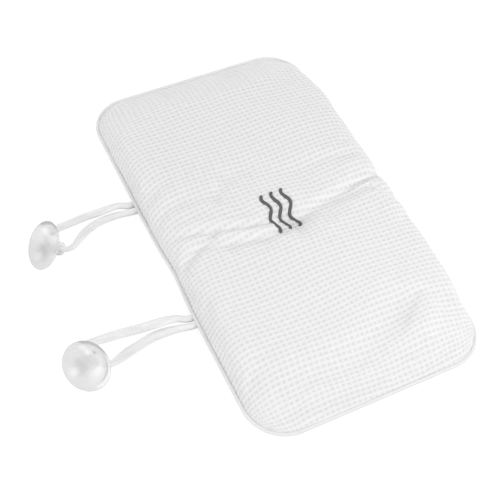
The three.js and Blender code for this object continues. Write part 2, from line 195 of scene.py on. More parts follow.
# Padding of the front by cloth simulation: air pressure on slack cloth that moves within a limit,
# while the wrinkles hold what is close to them
PUFF_FIRST_FRAME = 1
PUFF_FRAMES = 20
PUFF_PRESSURE = 3.0
PUFF_SLACK = 0.012
PUFF_LIMIT = 2.0 * MM
PUFF_QUALITY = 6
PUFF_MASS = 0.3
PUFF_BENDING = 1.5
PUFF_HOLD = 0.8
PUFF_HOLD_FROM = 0.6

# Embroidered motif: three short wave lines along the pad
MOTIF_CENTRE = (-1.5 * MM, -7 * MM)
MOTIF_LENGTH = 36 * MM
MOTIF_ROWS = 3
MOTIF_SPACING = 9 * MM
MOTIF_SWING = 2.2 * MM
MOTIF_WAVES = 2
MOTIF_STROKE = 2.8 * MM
MOTIF_HEIGHT = 0.75 * MM
MOTIF_THREAD = 0.42 * MM
MOTIF_THREAD_DEPTH = 0.1 * MM
MOTIF_SECTION = 9
MOTIF_LEAST_TAPER = 0.02

# Cord loops: points out from the seam hinge, along the pad from the loop's middle, and height,
# in millimetres, with the cup's eye between the outward and the backward stretch
CORD_DIAMETER = 5.6 * MM
CORD_DIAMETER_IN_EYE = 4.4 * MM
CORD_STRAND_HALF = 3.6
CORD_TAIL = 9
CORD_SEAM_HEIGHT = 5.7
FLAT_FROM_SEAM = (3 * MM, 24 * MM)
FLAT_FROM_EYE = (9 * MM, 26 * MM)
EYE_REACH = 6.5
CORD_STEP = 0.6 * MM
CORD_SIDES = 32
CORD_STITCH = 2.6 * MM
CORD_STITCHES_ROUND = 5
CORD_STITCH_DEPTH = 0.24 * MM
# Streaks along the cord: how many to a diameter of its length and round it, and the share of the
# painted shade between its stitches
CORD_STREAKS = (0.3, 7.0, 1.0)
CORD_STITCH_SHARE = 0.4
CORD_ROUTES = {
    "right": {
        "flat_width": 7.2 * MM,
        "outward": [
            (8.5, 6.7, 6.6), (15.2, 7.5, 5.6), (21.2, 8.3, 4.2), (27.5, 9.0, 3.0), (34.5, 9.3, 2.7),
            (41.5, 8.9, 2.7), (49.4, 8.0, 2.8), (55.6, 7.6, 2.9), (61.8, 7.0, 2.9), (67.3, 5.4, 2.8),
            (71.0, 2.9, 2.8), (73.2, -0.3, 2.7), (73.9, -3.8, 2.7), (73.3, -6.9, 2.9),
        ],
        "back": [
            (65.6, -21.6, 11.7), (62.9, -22.7, 12.6), (59.9, -22.6, 12.8), (57.1, -21.1, 12.2),
            (53.3, -17.6, 10.6), (47.8, -11.8, 7.5), (42, -6.9, 5.1), (35.8, -3.1, 3.5), (29.5, -0.9, 2.8),
            (23.5, 0.2, 2.7), (17, -0.2, 3.3), (9.5, -1.5, 4.6),
        ],
    },
    "left": {
        "flat_width": 8.4 * MM,
        "outward": [
            (8.4, 7.3, 6.7), (14.8, 8.7, 6.2), (20.7, 9.8, 5.3), (27.1, 11.0, 4.1), (33.1, 11.9, 3.2),
            (40.1, 12.8, 2.7), (46.7, 13.7, 2.6), (53.4, 14.5, 2.6), (60.4, 14.9, 2.8), (66.8, 15.0, 3.4),
            (73, 14.9, 4.3), (78.5, 14.6, 5.3), (82, 13.7, 5.9), (84.6, 11.7, 6.5), (86.0, 8.9, 6.9),
            (86.0, 5.7, 7.2),
        ],
        "back": [
            (73.9, -9.1, 7.4), (71, -10.0, 7.2), (67.8, -9.8, 6.9), (62, -8.2, 6.2), (56.4, -5.9, 5.2),
            (50.4, -3.7, 4.2), (43.6, -1.8, 3.2), (36.6, 0.1, 2.7), (30.6, 1.2, 2.6), (23.9, 1.2, 2.9),
            (17.5, 0.5, 3.6), (11, -0.8, 4.6),
        ],
    },
}

# Suction cup profile as (radius, height along its axis from the eye) in millimetres
CUP_SIDES = 128
CUP_KNOB = [(0, -4.6), (4.0, -4.6), (5.2, -4.3), (5.7, -3.6), (5.8, -2.6), (5.8, 3.2)]
CUP_FLARE = [(6.4, 4.6), (8.3, 5.9), (10.8, 7.2), (13.8, 9.0), (16.6, 11.1), (18.8, 12.9), (19.9, 13.7)]
CUP_RIM = [(20.0, 14.0), (19.8, 14.2), (18.8, 14.2)]
CUP_DISH = [(17.2, 13.0), (15.0, 11.4), (12.4, 9.9), (9.6, 8.7), (6.6, 8.0), (3.4, 7.7), (0, 7.6)]
CUP_PROFILE_STEP = 0.5 * MM
# Painted light and shade on the vinyl, in sectors against its mean tone: turn about the axis and
# half-spread in degrees, change of tone, and in millimetres the reach from the axis and how softly it ends
CUP_MEAN_TONE = 0.62
CUP_SECTORS = [
    {"turn": 38, "spread": 45, "change": -0.36, "reach": (3, 12), "fade": 3},
    {"turn": -150, "spread": 75, "change": 0.4, "reach": (1, 11), "fade": 3},
    {"turn": 100, "spread": 30, "change": -0.1, "reach": (2, 9), "fade": 3},
    {"turn": 48, "spread": 14, "change": 0.3, "reach": (10, 16), "fade": 2},
    {"turn": -55, "spread": 13, "change": 0.4, "reach": (6, 16), "fade": 1.5},
    {"turn": -97, "spread": 10, "change": -0.9, "reach": (9.5, 11.5), "fade": 0.8},
    {"turn": 140, "spread": 40, "change": 0.12, "reach": (6, 17), "fade": 2},
    {"turn": -94, "spread": 36, "change": -1.2, "reach": (17.6, 21), "fade": 0.8},
    {"turn": -172, "spread": 45, "change": 1.0, "reach": (16.8, 19.3), "fade": 0.5},
    {"turn": -166, "spread": 45, "change": -0.8, "reach": (15.6, 16.6), "fade": 0.4},
    {"turn": 0, "spread": 400, "change": -0.4, "reach": (19.5, 22), "fade": 0.3},
]
CUP_SECTOR_POWER = 4
EYE_RADIUS = 2.7 * MM
EYE_LENGTH = 20 * MM
EYE_SIDES = 48

# Piping
PIPING_STEP = 2 * MM
PIPING_SIDES = 12

# Looks: greys and roughness from 0 to 1, and fine relief by its strength and height
CLOTH_ROUGHNESS = 0.95
CLOTH_SHEEN = 0.08
THREAD_WANDER = {"Distortion": 0.6, "Detail": 1.0, "Detail Scale": 2.0}
# The waffle's dark grey is painted shade in its pits, its light grey is on the ridges
WAFFLE_GREY = {"dark": 0.67, "light": 0.90}
WAFFLE_PATCHES = {"Scale": 0.8, "Detail": 4.0}
WAFFLE_PATCH_SHARE = 0.3
WAFFLE_THREADS = 2.0
WAFFLE_RELIEF = {"strength": 0.35, "height": 0.12 * MM}
WAFFLE_SHEEN_ROUGHNESS = 0.6
BACK_CLOTH = {"level": 0.86, "threads_per_metre": 220.0}
PIPING_CLOTH = {"level": 0.87, "threads_per_metre": 400.0}
PLAIN_DARK_SHARE = 0.93
PLAIN_PATCHES = {"Scale": 90.0, "Detail": 3.0}
PLAIN_RELIEF = {"strength": 0.3, "height": 0.15 * MM}
CORD_MEAN_GREY = 0.88
# The cord's dark grey is painted shade between its stitches, mixed with streaks of uneven tone
CORD_GREY = {"dark": 0.66, "light": 0.97}
CORD_ROUGHNESS = 0.9
CORD_SHEEN = 0.1
CORD_PATCHES = {"Scale": 1.0}
CORD_FUZZ = {"Scale": 9.0, "Detail": 3.0}
CORD_RELIEF = {"strength": 0.4, "height": 0.15 * MM}
MOTIF_MEAN_GREY = 0.09
MOTIF_GREY = {"dark": 0.05, "light": 0.14}
MOTIF_ROUGHNESS = 0.5
MOTIF_STRANDS = {"Scale": 0.75, "Distortion": 0.8, "Detail": 2.0}
MOTIF_RELIEF = {"strength": 0.4, "height": 0.1 * MM}
CUP_MEAN_GREY = 0.9
# The cup's greys and opacity follow its painted highlights and painted shade
CUP_GREY = {"dark": 0.55, "light": 1.0}
CUP_OPACITY = {"dark": 0.8, "light": 0.5}
CUP_MEAN_ROUGHNESS = 0.3
CUP_ROUGHNESS = {"low": 0.15, "high": 0.4}
CUP_RIPPLES = {"Scale": 60.0, "Detail": 2.0}
CUP_RELIEF = {"strength": 0.12, "height": 0.4 * MM}
CUP_REFRACTION = 1.45
CUP_SHINE = 0.3
# Places of a colour mix node's sockets, which share their names with others
MIX_DARK_INPUT = 6
MIX_LIGHT_INPUT = 7
MIX_OUTPUT = 2


# Numbers

def smoothstep(value, start, end):
    t = np.clip((value - start) / (end - start), 0, 1)
    return t * t * (3 - 2 * t)


def triangle_wave(u):
    """1 at whole numbers, falling to 0 half-way between them."""
    return np.abs(1 - 2 * (u - np.floor(u)))


def lengths_along(line):
    """How far along a line of points each of them lies."""
    return np.concatenate([[0], np.cumsum(np.linalg.norm(np.diff(line, axis=0), axis=1))])


def evenly(line, step):
    """A line of points again, about a step apart."""
    along = lengths_along(line)
    at = np.linspace(0, along[-1], max(2, math.ceil(along[-1] / step) + 1))
    return np.stack([np.interp(at, along, line[:, k]) for k in range(line.shape[1])], axis=1)


def unit(vectors):
    return vectors / np.linalg.norm(vectors, axis=1, keepdims=True)


def smooth_line(points, step):
    """A centripetal curve through points, sampled about a step apart."""
    points = np.asarray(points, float)
    padded = np.vstack([2 * points[0] - points[1], points, 2 * points[-1] - points[-2]])
    pieces = []
    for p0, p1, p2, p3 in zip(padded, padded[1:], padded[2:], padded[3:]):
        spans = np.linalg.norm(np.diff([p0, p1, p2, p3], axis=0), axis=1)
        k0, k1, k2, k3 = np.cumsum([0, *np.sqrt(spans)])
        t = np.linspace(k1, k2, CURVE_SAMPLES, endpoint=False)[:, None]
        a1 = (k1 - t) / (k1 - k0) * p0 + (t - k0) / (k1 - k0) * p1
        a2 = (k2 - t) / (k2 - k1) * p1 + (t - k1) / (k2 - k1) * p2
        a3 = (k3 - t) / (k3 - k2) * p2 + (t - k2) / (k3 - k2) * p3
        b1 = (k2 - t) / (k2 - k0) * a1 + (t - k0) / (k2 - k0) * a2
        b2 = (k3 - t) / (k3 - k1) * a2 + (t - k1) / (k3 - k1) * a3
        pieces.append((k2 - t) / (k2 - k1) * b1 + (t - k1) / (k2 - k1) * b2)
    return evenly(np.vstack([*pieces, points[-1:]]), step)


# Meshes

def add_object(name, data):
    obj = bpy.data.objects.new(name, data)
    bpy.context.scene.collection.objects.link(obj)
    return obj


def mesh_object(name, points, faces):
    mesh = bpy.data.meshes.new(name)
    mesh.from_pydata(np.asarray(points, float).tolist(), [], faces)
    mesh.validate()
    mesh.shade_smooth()
    return add_object(name, mesh)


def grid_faces(rows, columns, wrap_rows=False, wrap_columns=False):
    """Quads over a grid of points, row after row, that may close on itself either way."""
    faces = []
    for r in range(rows if wrap_rows else rows - 1):
        for c in range(columns if wrap_columns else columns - 1):
            r2 = (r + 1) % rows
            c2 = (c + 1) % columns
            faces.append((r * columns + c, r * columns + c2, r2 * columns + c2, r2 * columns + c))
    return faces


def tube_object(name, rings):
    """A closed skin over rings of points, flat at both ends."""
    count, sides = len(rings), len(rings[0])
    obj = mesh_object(name, np.reshape(rings, (-1, 3)), grid_faces(count, sides, wrap_columns=True))
    bm = bmesh.new()
    bm.from_mesh(obj.data)
    bmesh.ops.holes_fill(bm, edges=[e for e in bm.edges if e.is_boundary])
    bmesh.ops.recalc_face_normals(bm, faces=bm.faces)
    bm.to_mesh(obj.data)
    bm.free()
    return obj


def vectors(rows, key="vector"):
    """The vectors in rows of a mesh's data, such as its places, its normals or an attribute."""
    values = np.zeros(len(rows) * 3, np.float32)
    rows.foreach_get(key, values)
    return values.reshape(-1, 3).astype(float)


def coordinates(mesh):
    return vectors(mesh.vertices, "co")


def set_coordinates(mesh, points):
    mesh.vertices.foreach_set("co", np.asarray(points, np.float32).ravel())
    mesh.update()


def set_attribute(mesh, name, values):
    """A number or a vector for each vertex."""
    values = np.asarray(values, np.float32)
    kind, key = ("FLOAT", "value") if values.ndim == 1 else ("FLOAT_VECTOR", "vector")
    attribute = mesh.attributes.get(name) or mesh.attributes.new(name, kind, "POINT")
    attribute.data.foreach_set(key, values.ravel())


def set_uv(mesh, per_vertex):
    """A UV map from one pair of numbers for each vertex."""
    layer = mesh.uv_layers.new(name="cloth")
    corner_vertex = np.zeros(len(mesh.loops), np.int32)
    mesh.loops.foreach_get("vertex_index", corner_vertex)
    layer.data.foreach_set("uv", np.asarray(per_vertex, np.float32)[corner_vertex].ravel())


def applied(obj):
    """Puts an object's modifiers into its mesh."""
    graph = bpy.context.evaluated_depsgraph_get()
    mesh = bpy.data.meshes.new_from_object(
        obj.evaluated_get(graph), preserve_all_data_layers=True, depsgraph=graph,
    )
    obj.modifiers.clear()
    old = obj.data
    obj.data = mesh
    bpy.data.meshes.remove(old)


def subdivided(obj, levels):
    """Applies a smooth subdivision to an object's mesh."""
    modifier = obj.modifiers.new("smooth", "SUBSURF")
    modifier.levels = levels
    modifier.render_levels = levels
    applied(obj)


def close_below(obj):
    """Closes an open sheet with a fan of faces from its edge to a point in the middle."""
    bm = bmesh.new()
    bm.from_mesh(obj.data)
    edges = [e for e in bm.edges if e.is_boundary]
    rim = {v for e in edges for v in e.verts}
    middle = bm.verts.new(sum((v.co for v in rim), Vector()) / len(rim))
    for edge in edges:
        loop = edge.link_loops[0]
        bm.faces.new((loop.link_loop_next.vert, loop.vert, middle))
    bm.normal_update()
    bm.to_mesh(obj.data)
    bm.free()


# Materials

def grey(level):
    return (level, level, level, 1)


def new_material(name, level, roughness):
    material = bpy.data.materials.new(name)
    material.use_nodes = True
    shader = material.node_tree.nodes["Principled BSDF"]
    shader.inputs["Base Color"].default_value = grey(level)
    shader.inputs["Roughness"].default_value = roughness
    return material, material.node_tree, shader


def add_node(tree, kind, settings=None, inputs=None):
    made = tree.nodes.new(kind)
    for key, value in (settings or {}).items():
        setattr(made, key, value)
    for key, value in (inputs or {}).items():
        socket = made.inputs[key]
        if isinstance(value, bpy.types.NodeSocket):
            tree.links.new(value, socket)
        else:
            socket.default_value = value
    return made


def vertex_value(tree, name):
    """A number that each vertex carries."""
    return add_node(tree, "ShaderNodeAttribute", {"attribute_name": name}).outputs["Fac"]


def cloth_place(tree):
    """Where a point lies on the flat cloth."""
    return add_node(tree, "ShaderNodeUVMap", {"uv_map": "cloth"}).outputs["UV"]


def solid_place(tree):
    """Where a point lies in the object's own space."""
    return add_node(tree, "ShaderNodeTexCoord").outputs["Object"]


def noise(tree, place, settings):
    """Soft uneven patches."""
    return add_node(tree, "ShaderNodeTexNoise", inputs={"Vector": place, **settings}).outputs["Fac"]


def combined(tree, operation, *values, clamp=False):
    """One number from several, by an operation of arithmetic."""
    settings = {"operation": operation, "use_clamp": clamp}
    return add_node(tree, "ShaderNodeMath", settings, dict(enumerate(values))).outputs[0]


def spread(tree, value, low, high):
    """A number from 0 to 1, spread from low to high."""
    ends = {"Value": value, "To Min": low, "To Max": high}
    return add_node(tree, "ShaderNodeMapRange", inputs=ends).outputs[0]


def tone(tree, shader, factor, dark, light):
    """Colours a surface from a dark grey to a light one by a factor."""
    mix = add_node(tree, "ShaderNodeMix", {"data_type": "RGBA"}, {
        "Factor": factor, MIX_DARK_INPUT: grey(dark), MIX_LIGHT_INPUT: grey(light),
    })
    tree.links.new(mix.outputs[MIX_OUTPUT], shader.inputs["Base Color"])


def relief(tree, shader, pattern, strength, height):
    """Fine relief of a surface, too small to model."""
    bump = add_node(tree, "ShaderNodeBump", inputs={
        "Height": pattern, "Strength": strength, "Distance": height,
    })
    tree.links.new(bump.outputs["Normal"], shader.inputs["Normal"])


def thread_height(tree, vector, scale):
    """Height of a plain weave of threads: bands both ways, the higher of the two on top."""
    bands = [
        add_node(
            tree, "ShaderNodeTexWave",
            {"bands_direction": direction, "wave_profile": "SIN"},
            {"Vector": vector, "Scale": scale, **THREAD_WANDER},
        ).outputs["Fac"]
        for direction in ("X", "Y")
    ]
    return combined(tree, "MAXIMUM", *bands)


def waffle_material():
    """White cotton with painted shade in its pits, which are darker than the ridges, and threads across
    and along.
    """
    material, tree, shader = new_material("waffle_cloth", WAFFLE_GREY["light"], CLOTH_ROUGHNESS)
    cloth = cloth_place(tree)
    patchy = noise(tree, cloth, WAFFLE_PATCHES)
    ridge = vertex_value(tree, "ridge")
    # Uneven patches of tone, with painted shade in the pits where the ridges fall away
    uneven_tone_and_painted_shade = combined(tree, "MULTIPLY_ADD", patchy, WAFFLE_PATCH_SHARE, ridge, clamp=True)
    tone(tree, shader, uneven_tone_and_painted_shade, **WAFFLE_GREY)
    relief(tree, shader, thread_height(tree, cloth, WAFFLE_THREADS), **WAFFLE_RELIEF)
    shader.inputs["Sheen Weight"].default_value = CLOTH_SHEEN
    shader.inputs["Sheen Roughness"].default_value = WAFFLE_SHEEN_ROUGHNESS
    return material


def plain_cloth_material(name, level, threads_per_metre):
    """White plain-woven cloth, with its weave in object space."""
    material, tree, shader = new_material(name, level, CLOTH_ROUGHNESS)
    place = solid_place(tree)
    tone(tree, shader, noise(tree, place, PLAIN_PATCHES), PLAIN_DARK_SHARE * level, level)
    relief(tree, shader, thread_height(tree, place, threads_per_metre), **PLAIN_RELIEF)
    shader.inputs["Sheen Weight"].default_value = CLOTH_SHEEN
    return material


def cord_material():
    """Soft white knitted cord, streaked along its length, with painted shade between its stitches."""
    material, tree, shader = new_material("loop_cord", CORD_MEAN_GREY, CORD_ROUGHNESS)
    cloth = cloth_place(tree)
    drawn_out = add_node(
        tree, "ShaderNodeVectorMath", {"operation": "MULTIPLY"}, {0: cloth, 1: CORD_STREAKS},
    ).outputs[0]
    streak = noise(tree, drawn_out, CORD_PATCHES)
    stitch = vertex_value(tree, "stitch")
    # Streaks of uneven tone, with painted shade between the stitches
    uneven_tone_and_painted_shade = combined(tree, "MULTIPLY_ADD", stitch, CORD_STITCH_SHARE, streak, clamp=True)
    tone(tree, shader, uneven_tone_and_painted_shade, **CORD_GREY)
    relief(tree, shader, noise(tree, cloth, CORD_FUZZ), **CORD_RELIEF)
    shader.inputs["Sheen Weight"].default_value = CORD_SHEEN
    return material


def thread_material():
    """Dark grey embroidery thread with a soft shine."""
    material, tree, shader = new_material("motif_thread", MOTIF_MEAN_GREY, MOTIF_ROUGHNESS)
    strands = add_node(
        tree, "ShaderNodeTexWave", {"bands_direction": "X"},
        {"Vector": cloth_place(tree), **MOTIF_STRANDS},
    ).outputs["Fac"]
    tone(tree, shader, strands, **MOTIF_GREY)
    relief(tree, shader, strands, **MOTIF_RELIEF)
    return material


def clear_material():
    """Clear soft vinyl, a little milky, with painted highlights and painted shade that also set how
    see-through it is.
    """
    material, tree, shader = new_material("clear_plastic", CUP_MEAN_GREY, CUP_MEAN_ROUGHNESS)
    # Painted highlights and painted shade, as lighter and darker sectors round the cup
    painted_light_and_shade = vertex_value(tree, "painted_light_and_shade")
    tone(tree, shader, painted_light_and_shade, **CUP_GREY)
    ripple = noise(tree, solid_place(tree), CUP_RIPPLES)
    relief(tree, shader, ripple, **CUP_RELIEF)
    tree.links.new(spread(tree, ripple, **CUP_ROUGHNESS), shader.inputs["Roughness"])
    opacity = spread(tree, painted_light_and_shade, CUP_OPACITY["dark"], CUP_OPACITY["light"])
    tree.links.new(opacity, shader.inputs["Alpha"])
    shader.inputs["IOR"].default_value = CUP_REFRACTION
    shader.inputs["Specular IOR Level"].default_value = CUP_SHINE
    return material


# Stage

def make_camera():
    data = bpy.data.cameras.new("camera")
    data.sensor_width = SENSOR_WIDTH
    data.lens = SENSOR_WIDTH * FOCAL_PIXELS / FRAME_PIXELS
    camera = add_object("camera", data)
    level = math.cos(VIEW_ELEVATION)
    cosine = math.cos(VIEW_AZIMUTH)
    sine = math.sin(VIEW_AZIMUTH)
    back = Vector((sine * level, -cosine * level, math.sin(VIEW_ELEVATION)))
    right = Vector((cosine, sine, 0))
    up = back.cross(right)
    rolled_right = right * math.cos(VIEW_ROLL) + up * math.sin(VIEW_ROLL)
    rolled_up = up * math.cos(VIEW_ROLL) - right * math.sin(VIEW_ROLL)
    turn = Matrix((rolled_right, rolled_up, back)).transposed().to_4x4()
    camera.matrix_world = Matrix.Translation(VIEW_TARGET + back * VIEW_DISTANCE) @ turn
    bpy.context.scene.camera = camera


def seen_directly(tree):
    """1 for rays from the camera and for those seen in gloss or through clear plastic."""
    path = add_node(tree, "ShaderNodeLightPath").outputs
    seen = combined(tree, "MAXIMUM", path["Is Camera Ray"], path["Is Glossy Ray"])
    return combined(tree, "MAXIMUM", seen, path["Is Transmission Ray"])


def make_world():
    world = bpy.data.worlds.new("studio")
    bpy.context.scene.world = world
    world.use_nodes = True
    tree = world.node_tree
    background = tree.nodes["Background"]
    background.inputs["Color"].default_value = grey(1)
    strength = spread(tree, seen_directly(tree), WORLD_LIGHT, WORLD_SEEN)
    tree.links.new(strength, background.inputs["Strength"])


def make_floor():
    corners = [(sx * FLOOR_HALF, sy * FLOOR_HALF, FLOOR_HEIGHT) for sx, sy in FOUR_CORNERS]
    floor = mesh_object("floor", corners, [(0, 1, 2, 3)])
    material = bpy.data.materials.new("floor")
    material.use_nodes = True
    tree = material.node_tree
    tree.nodes.remove(tree.nodes["Principled BSDF"])
    plain = add_node(tree, "ShaderNodeBsdfDiffuse", inputs={"Color": grey(FLOOR_GREY)})
    shaded = add_node(tree, "ShaderNodeBsdfDiffuse", inputs={"Color": grey(FLOOR_SHADOW)})
    glow = add_node(tree, "ShaderNodeEmission", inputs={"Strength": FLOOR_GLOW})
    white = add_node(tree, "ShaderNodeAddShader", inputs={0: shaded.outputs[0], 1: glow.outputs[0]})
    mix = add_node(tree, "ShaderNodeMixShader", inputs={
        0: seen_directly(tree), 1: plain.outputs[0], 2: white.outputs[0],
    })
    tree.links.new(mix.outputs[0], tree.nodes["Material Output"].inputs["Surface"])
    floor.data.materials.append(material)


def area_light(name, place, power):
    """A soft square lamp that faces the middle of the pad."""
    data = bpy.data.lights.new(name, "AREA")
    data.size = LAMP_SIZE
    data.energy = power
    lamp = add_object(name, data)
    lamp.location = place
    lamp.rotation_euler = (-Vector(place)).to_track_quat("-Z", "Y").to_euler()


# Pad surfaces

def edge_profile(side, rise):
    """Arc length, inset, swell and share of the rise, from the seam up to where the edge levels out."""
    share = 1 - (1 - np.linspace(0, 1, PROFILE_STEPS)) ** 2
    inset = side["run"] * (1 - (1 - share ** side["lift"]) ** (1 / side["power"]))
    swell = side["swell"] * np.sin(np.pi * share)
    steps = np.hypot(np.diff(inset - swell), np.diff(rise * share))
    return {"arc": np.concatenate([[0], np.cumsum(steps)]), "inset": inset, "swell": swell, "share": share}


def along_profile(profile, arc):
    """Inset, swell and share of the rise at an arc length from the seam."""
    end = profile["arc"][-1]
    inset, swell, share = (np.interp(arc, profile["arc"], profile[k]) for k in ("inset", "swell", "share"))
    return inset + np.maximum(arc - end, 0), swell, share


def flat_half(half, profile):
    """Half the size of the flat cloth over an edge profile."""
    return half - PANEL_TUCK - profile["inset"][-1] + profile["arc"][-1]


def near_end(y):
    """1 close to the pad's ends, 0 along its middle."""
    return 1 - smoothstep(HALF_LENGTH - np.abs(y), CORNER_SINK_END_FULL, CORNER_SINK_END_NONE)


def corner_sink(x, y):
    """How far the front sinks near a corner."""
    return CORNER_SINK * near_end(y) * (1 - smoothstep(HALF_WIDTH - np.abs(x), 0, CORNER_SINK_SIDE))


def uneven(x, y):
    """Soft rise and fall of the padding."""
    height = np.zeros_like(x)
    for wave in UNEVEN_WAVES:
        ahead = x * math.cos(wave["turn"]) + y * math.sin(wave["turn"])
        height += UNEVEN_HEIGHT * np.sin(2 * np.pi * ahead / wave["length"] + wave["phase"])
    return height


def rounded(x, y):
    """Moves points of a box outline's corners onto round ones."""
    radius = CORNER_RADIUS - PANEL_TUCK
    core_x = HALF_WIDTH - PANEL_TUCK - radius
    core_y = HALF_LENGTH - PANEL_TUCK - radius
    u = np.maximum(np.abs(x) - core_x, 0) / radius
    v = np.maximum(np.abs(y) - core_y, 0) / radius
    round_x = np.minimum(np.abs(x), core_x) + radius * u * np.sqrt(1 - np.minimum(v, 1) ** 2 / 2)
    round_y = np.minimum(np.abs(y), core_y) + radius * v * np.sqrt(1 - np.minimum(u, 1) ** 2 / 2)
    return np.sign(x) * round_x, np.sign(y) * round_y


def seam_pulled(x, y):
    """The crease draws the left long side in a little."""
    pull = np.where(x < 0, SEAM_PULL, 0)
    near_edge = np.clip(np.abs(x) / HALF_WIDTH, 0, 1) ** SEAM_PULL_POWER
    return x - np.sign(x) * pull * near_edge * np.exp(-((y - SEAM_PULL_PLACE) / SEAM_PULL_WIDTH) ** 2)


def padded_sheet(across, along, left, right, near, far):
    """Where points of the flat cloth lie, and their share of the rise, over padded sides and ends."""
    by_left = along_profile(left, flat_half(HALF_WIDTH, left) + across)
    by_right = along_profile(right, flat_half(HALF_WIDTH, right) - across)
    by_near = along_profile(near, flat_half(HALF_LENGTH, near) + along)
    by_far = along_profile(far, flat_half(HALF_LENGTH, far) - along)
    side_inset, side_swell, side_share = np.where(across < 0, by_left, by_right)
    end_inset, end_swell, end_share = np.where(along < 0, by_near, by_far)
    y = np.sign(along) * (HALF_LENGTH - PANEL_TUCK - end_inset + end_swell * side_share)
    x = np.sign(across) * (HALF_WIDTH - PANEL_TUCK - side_inset + side_swell * (1 - near_end(y)))
    x, y = rounded(x, y)
    return seam_pulled(x, y), y, side_share * end_share


def nearest_on_path(x, y, path):
    """Distance of points from a path, and how far along it the nearest place lies, from 0 to 1."""
    points = np.array(path, float) * MM
    lengths = np.linalg.norm(np.diff(points, axis=0), axis=1)
    starts = np.concatenate([[0], np.cumsum(lengths)])
    best = np.full(x.shape, np.inf)
    place = np.zeros(x.shape)
    for (ax, ay), (bx, by), length, start in zip(points[:-1], points[1:], lengths, starts):
        dx, dy = (bx - ax) / length, (by - ay) / length
        t = np.clip((x - ax) * dx + (y - ay) * dy, 0, length)
        away = np.hypot(x - ax - t * dx, y - ay - t * dy)
        nearer = away < best
        best = np.where(nearer, away, best)
        place = np.where(nearer, (start + t) / starts[-1], place)
    return best, place


def path_dip(x, y, path, depth, width):
    """Depth below the smooth surface near a path, and how close each point is to it."""
    away, place = nearest_on_path(x, y, path)
    deep = (depth[0] + (depth[1] - depth[0]) * place) * MM
    wide = (width[0] + (width[1] - width[0]) * place) * MM
    closeness = np.exp(-(away / wide) ** 2)
    shoulder = np.exp(-((away / wide - WRINKLE_SHOULDER_PLACE) / WRINKLE_SHOULDER_WIDTH) ** 2)
    return deep * (closeness - WRINKLE_SHOULDER * shoulder), closeness


def flat_grid(left, right, near, far, cell_across, cell_along):
    """Points of the flat cloth on a grid of about those cells, row after row, and the grid's size."""
    columns = round((right - left) / cell_across) + 1
    rows = round((far - near) / cell_along) + 1
    row_places = np.linspace(near, far, rows)
    column_places = np.linspace(left, right, columns)
    along, across = np.meshgrid(row_places, column_places, indexing="ij")
    return across.ravel(), along.ravel(), rows, columns


def front_start():
    """The front cloth before it is padded out: its points, how firmly each is held, and its grid."""
    left = edge_profile(FRONT_LEFT_SIDE, FRONT_RISE)
    right = edge_profile(FRONT_SIDE, FRONT_RISE)
    near = edge_profile(FRONT_NEAR_END, FRONT_RISE)
    far = edge_profile(FRONT_END, FRONT_RISE)
    across, along, rows, columns = flat_grid(
        -flat_half(HALF_WIDTH, left), flat_half(HALF_WIDTH, right),
        -flat_half(HALF_LENGTH, near), flat_half(HALF_LENGTH, far),
        WAFFLE_ACROSS / WAFFLE_GRID, WAFFLE_ALONG / WAFFLE_GRID,
    )
    x, y, share = padded_sheet(across, along, left, right, near, far)
    crown = FRONT_CROWN * (1 - (x / HALF_WIDTH) ** 2) * (1 - (y / HALF_LENGTH) ** 2)
    z = FRONT_BASE + (FRONT_RISE + crown - corner_sink(x, y) + uneven(x, y)) * share
    held = np.where(share < SEAM_SHARE, 1.0, 0.0)
    for fold in CREASES + WRINKLES:
        dip, closeness = path_dip(x, y, **fold)
        z = z - dip * share
        if fold in WRINKLES:
            held = np.maximum(held, PUFF_HOLD * np.where(closeness > PUFF_HOLD_FROM, closeness, 0))
    return np.stack([x, y, z], axis=1), held, across, along, rows, columns


def puffed(obj, held):
    """Cloth simulation: air pressure fills the cloth between the seam and the creases that hold it."""
    start = coordinates(obj.data)
    group = obj.vertex_groups.new(name="held")
    for index in np.flatnonzero(held > 0):
        group.add([int(index)], float(held[index]), "REPLACE")
    modifier = obj.modifiers.new("padding", "CLOTH")
    settings = modifier.settings
    settings.vertex_group_mass = "held"
    settings.quality = PUFF_QUALITY
    settings.mass = PUFF_MASS
    settings.bending_stiffness = PUFF_BENDING
    settings.use_pressure = True
    settings.uniform_pressure_force = PUFF_PRESSURE
    settings.shrink_min = -PUFF_SLACK
    settings.effector_weights.gravity = 0
    modifier.point_cache.frame_start = PUFF_FIRST_FRAME
    modifier.point_cache.frame_end = PUFF_FRAMES
    for number in range(PUFF_FIRST_FRAME, PUFF_FRAMES + 1):
        bpy.context.scene.frame_set(number)
    applied(obj)
    bpy.context.scene.frame_set(PUFF_FIRST_FRAME)
    obj.vertex_groups.clear()
    moved = coordinates(obj.data) - start
    far = np.linalg.norm(moved, axis=1, keepdims=True)
    set_coordinates(obj.data, start + moved * np.minimum(1, PUFF_LIMIT / np.maximum(far, LEAST_MOVE)))


def waffle_cells(across, along):
    """Where points of the flat cloth lie in the weave, counted in cells of its wandering rows."""
    turn_across = 2 * np.pi * across / WAFFLE_DRIFT_ACROSS
    turn_along = 2 * np.pi * along / WAFFLE_DRIFT_ALONG
    cells_across = across / WAFFLE_ACROSS + WAFFLE_DRIFT * np.sin(turn_along)
    cells_along = along / WAFFLE_ALONG + WAFFLE_DRIFT * np.sin(turn_across + turn_along / 2)
    return np.stack([cells_across, cells_along, np.zeros_like(across)], axis=1)


def waffle_height(across, along):
    """Share of the ridges' height, from 0 in the middle of a pit; ridges across the pad are higher."""
    return np.maximum(WAFFLE_LOW_RIDGE * triangle_wave(across), triangle_wave(along))


